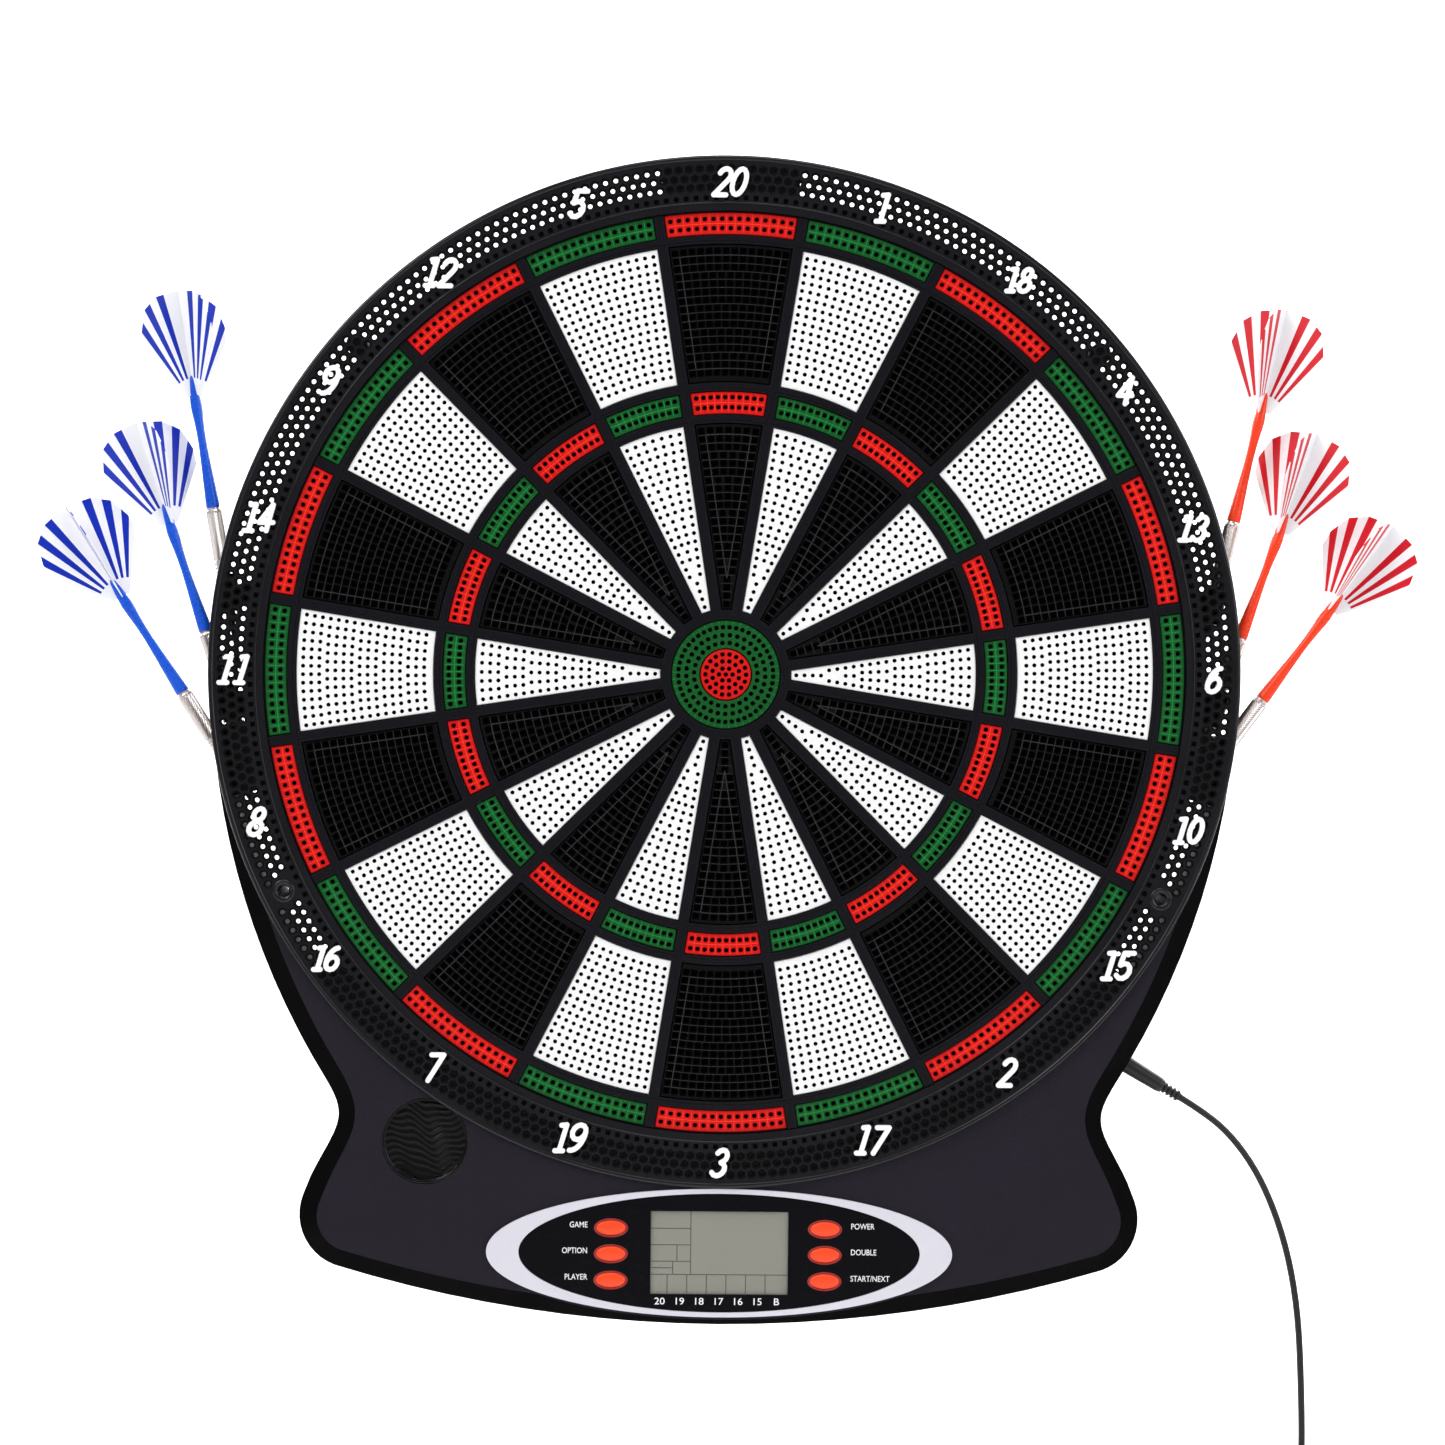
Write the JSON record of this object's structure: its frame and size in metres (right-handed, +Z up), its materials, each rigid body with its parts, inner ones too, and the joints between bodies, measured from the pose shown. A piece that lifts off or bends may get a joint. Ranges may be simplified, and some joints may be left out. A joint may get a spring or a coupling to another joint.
{
  "type": "electronic dartboard",
  "caption": "Wall-hung electronic dartboard with sprung scoring segments, honeycomb number ring, display panel, push buttons, stored soft-tip darts and a mains adapter lead.",
  "frame": {"origin": "the bull's axis where it meets the wall plane, at the back of the rear cover", "axes": "+X to the right as seen from the front, +Y into the wall, +Z up; the playing face looks along -Y"},
  "size_m": [0.5882, 0.0484, 0.7395],
  "materials": {
    "housing_charcoal": "fine texture, dark charcoal",
    "ring_black": "satin black",
    "frame_black": "satin black",
    "segment_black": "matt black",
    "segment_white": "matt white",
    "segment_red": "matt red",
    "segment_green": "matt green",
    "numeral_white": "gloss white",
    "bezel_white": "satin white",
    "panel_navy": "printed dark navy film",
    "window_clear": "clear plastic window",
    "lcd_grey": "grey-green liquid crystal glass",
    "button_orange": "gloss orange red",
    "silicone_grey": "silicone",
    "mat_rubber": "rubber sheet",
    "membrane_film": "polyester film",
    "backing_board": "hardboard",
    "circuit_green": "solder mask",
    "speaker_black": "paper cone in a plastic frame",
    "grille_black": "satin black",
    "jack_black": "matt black",
    "screw_steel": "zinc plated",
    "dart_blue": "gloss blue",
    "dart_red": "gloss orange red",
    "barrel_nickel": "knurled nickel plate",
    "tip_black": "soft plastic tip",
    "flight_white": "thin polyester, printed stripes",
    "lead_black": "soft vinyl",
    "adapter_black": "fine texture",
    "blade_brass": "nickel plated blades"
  },
  "bodies": {
    "board": {"front_housing": "housing_charcoal", "rear_cover": "housing_charcoal", "catch_ring": "ring_black", "numerals": "numeral_white", "spider_frame": "frame_black", "rubber_mat": "mat_rubber", "matrix_membrane": "membrane_film", "backing_plate": "backing_board", "main_board": "circuit_green", "lcd_module": "lcd_grey", "lcd_window": "window_clear", "panel_overlay": "panel_navy", "panel_bezel": "bezel_white", "keypad_mats": "silicone_grey", "speaker": "speaker_black", "speaker_grille": "grille_black", "dc_jack": "jack_black", "housing_screws": "screw_steel", "dart_holder_left": "ring_black", "dart_holder_right": "ring_black", "dc_plug": "lead_black", "adapter_lead": "lead_black", "lead_coil": "lead_black", "adapter_tail": "lead_black", "wall_adapter": "adapter_black"},
    "sector_20": {"sector_20": "segment_black"},
    "sector_01": {"sector_01": "segment_white"},
    "sector_18": {"sector_18": "segment_black"},
    "sector_04": {"sector_04": "segment_white"},
    "sector_13": {"sector_13": "segment_black"},
    "sector_06": {"sector_06": "segment_white"},
    "sector_10": {"sector_10": "segment_black"},
    "sector_15": {"sector_15": "segment_white"},
    "sector_02": {"sector_02": "segment_black"},
    "sector_17": {"sector_17": "segment_white"},
    "sector_03": {"sector_03": "segment_black"},
    "sector_19": {"sector_19": "segment_white"},
    "sector_07": {"sector_07": "segment_black"},
    "sector_16": {"sector_16": "segment_white"},
    "sector_08": {"sector_08": "segment_black"},
    "sector_11": {"sector_11": "segment_white"},
    "sector_14": {"sector_14": "segment_black"},
    "sector_09": {"sector_09": "segment_white"},
    "sector_12": {"sector_12": "segment_black"},
    "sector_05": {"sector_05": "segment_white"},
    "bull_outer": {"bull_outer": "segment_green"},
    "bull_inner": {"bull_inner": "segment_red"},
    "button_game": {"button_game": "button_orange"},
    "button_option": {"button_option": "button_orange"},
    "button_player": {"button_player": "button_orange"},
    "button_power": {"button_power": "button_orange"},
    "button_double": {"button_double": "button_orange"},
    "button_start": {"button_start": "button_orange"},
    "blue_dart_1": {"blue_dart_1": "dart_blue"},
    "blue_dart_2": {"blue_dart_2": "dart_blue"},
    "blue_dart_3": {"blue_dart_3": "dart_blue"},
    "red_dart_1": {"red_dart_1": "dart_red"},
    "red_dart_2": {"red_dart_2": "dart_red"},
    "red_dart_3": {"red_dart_3": "dart_red"}
  },
  "joints": [
    {"name": "sector_20_press", "type": "slide", "parent": "board", "child": "sector_20", "axis": [0, 1, 0], "range_m": [0, 0.0012], "stiffness_N_per_m": 1500},
    {"name": "sector_01_press", "type": "slide", "parent": "board", "child": "sector_01", "axis": [0, 1, 0], "range_m": [0, 0.0012], "stiffness_N_per_m": 1500},
    {"name": "sector_18_press", "type": "slide", "parent": "board", "child": "sector_18", "axis": [0, 1, 0], "range_m": [0, 0.0012], "stiffness_N_per_m": 1500},
    {"name": "sector_04_press", "type": "slide", "parent": "board", "child": "sector_04", "axis": [0, 1, 0], "range_m": [0, 0.0012], "stiffness_N_per_m": 1500},
    {"name": "sector_13_press", "type": "slide", "parent": "board", "child": "sector_13", "axis": [0, 1, 0], "range_m": [0, 0.0012], "stiffness_N_per_m": 1500},
    {"name": "sector_06_press", "type": "slide", "parent": "board", "child": "sector_06", "axis": [0, 1, 0], "range_m": [0, 0.0012], "stiffness_N_per_m": 1500},
    {"name": "sector_10_press", "type": "slide", "parent": "board", "child": "sector_10", "axis": [0, 1, 0], "range_m": [0, 0.0012], "stiffness_N_per_m": 1500},
    {"name": "sector_15_press", "type": "slide", "parent": "board", "child": "sector_15", "axis": [0, 1, 0], "range_m": [0, 0.0012], "stiffness_N_per_m": 1500},
    {"name": "sector_02_press", "type": "slide", "parent": "board", "child": "sector_02", "axis": [0, 1, 0], "range_m": [0, 0.0012], "stiffness_N_per_m": 1500},
    {"name": "sector_17_press", "type": "slide", "parent": "board", "child": "sector_17", "axis": [0, 1, 0], "range_m": [0, 0.0012], "stiffness_N_per_m": 1500},
    {"name": "sector_03_press", "type": "slide", "parent": "board", "child": "sector_03", "axis": [0, 1, 0], "range_m": [0, 0.0012], "stiffness_N_per_m": 1500},
    {"name": "sector_19_press", "type": "slide", "parent": "board", "child": "sector_19", "axis": [0, 1, 0], "range_m": [0, 0.0012], "stiffness_N_per_m": 1500},
    {"name": "sector_07_press", "type": "slide", "parent": "board", "child": "sector_07", "axis": [0, 1, 0], "range_m": [0, 0.0012], "stiffness_N_per_m": 1500},
    {"name": "sector_16_press", "type": "slide", "parent": "board", "child": "sector_16", "axis": [0, 1, 0], "range_m": [0, 0.0012], "stiffness_N_per_m": 1500},
    {"name": "sector_08_press", "type": "slide", "parent": "board", "child": "sector_08", "axis": [0, 1, 0], "range_m": [0, 0.0012], "stiffness_N_per_m": 1500},
    {"name": "sector_11_press", "type": "slide", "parent": "board", "child": "sector_11", "axis": [0, 1, 0], "range_m": [0, 0.0012], "stiffness_N_per_m": 1500},
    {"name": "sector_14_press", "type": "slide", "parent": "board", "child": "sector_14", "axis": [0, 1, 0], "range_m": [0, 0.0012], "stiffness_N_per_m": 1500},
    {"name": "sector_09_press", "type": "slide", "parent": "board", "child": "sector_09", "axis": [0, 1, 0], "range_m": [0, 0.0012], "stiffness_N_per_m": 1500},
    {"name": "sector_12_press", "type": "slide", "parent": "board", "child": "sector_12", "axis": [0, 1, 0], "range_m": [0, 0.0012], "stiffness_N_per_m": 1500},
    {"name": "sector_05_press", "type": "slide", "parent": "board", "child": "sector_05", "axis": [0, 1, 0], "range_m": [0, 0.0012], "stiffness_N_per_m": 1500},
    {"name": "bull_outer_press", "type": "slide", "parent": "board", "child": "bull_outer", "axis": [0, 1, 0], "range_m": [0, 0.0012], "stiffness_N_per_m": 800},
    {"name": "bull_inner_press", "type": "slide", "parent": "board", "child": "bull_inner", "axis": [0, 1, 0], "range_m": [0, 0.0012], "stiffness_N_per_m": 800},
    {"name": "button_game_press", "type": "slide", "parent": "board", "child": "button_game", "axis": [0, 1, 0], "range_m": [0, 0.0008], "stiffness_N_per_m": 400},
    {"name": "button_option_press", "type": "slide", "parent": "board", "child": "button_option", "axis": [0, 1, 0], "range_m": [0, 0.0008], "stiffness_N_per_m": 400},
    {"name": "button_player_press", "type": "slide", "parent": "board", "child": "button_player", "axis": [0, 1, 0], "range_m": [0, 0.0008], "stiffness_N_per_m": 400},
    {"name": "button_power_press", "type": "slide", "parent": "board", "child": "button_power", "axis": [0, 1, 0], "range_m": [0, 0.0008], "stiffness_N_per_m": 400},
    {"name": "button_double_press", "type": "slide", "parent": "board", "child": "button_double", "axis": [0, 1, 0], "range_m": [0, 0.0008], "stiffness_N_per_m": 400},
    {"name": "button_start_press", "type": "slide", "parent": "board", "child": "button_start", "axis": [0, 1, 0], "range_m": [0, 0.0008], "stiffness_N_per_m": 400},
    {"name": "blue_dart_1_pull", "type": "slide", "parent": "board", "child": "blue_dart_1", "axis": [-0.1693, 0, 0.9856], "range_m": [0, 0.095]},
    {"name": "blue_dart_2_pull", "type": "slide", "parent": "board", "child": "blue_dart_2", "axis": [-0.3226, 0, 0.9465], "range_m": [0, 0.095]},
    {"name": "blue_dart_3_pull", "type": "slide", "parent": "board", "child": "blue_dart_3", "axis": [-0.5434, 0, 0.8395], "range_m": [0, 0.095]},
    {"name": "red_dart_1_pull", "type": "slide", "parent": "board", "child": "red_dart_1", "axis": [0.2307, 0, 0.973], "range_m": [0, 0.095]},
    {"name": "red_dart_2_pull", "type": "slide", "parent": "board", "child": "red_dart_2", "axis": [0.3388, 0, 0.9408], "range_m": [0, 0.095]},
    {"name": "red_dart_3_pull", "type": "slide", "parent": "board", "child": "red_dart_3", "axis": [0.5945, 0, 0.8041], "range_m": [0, 0.095]}
  ]
}
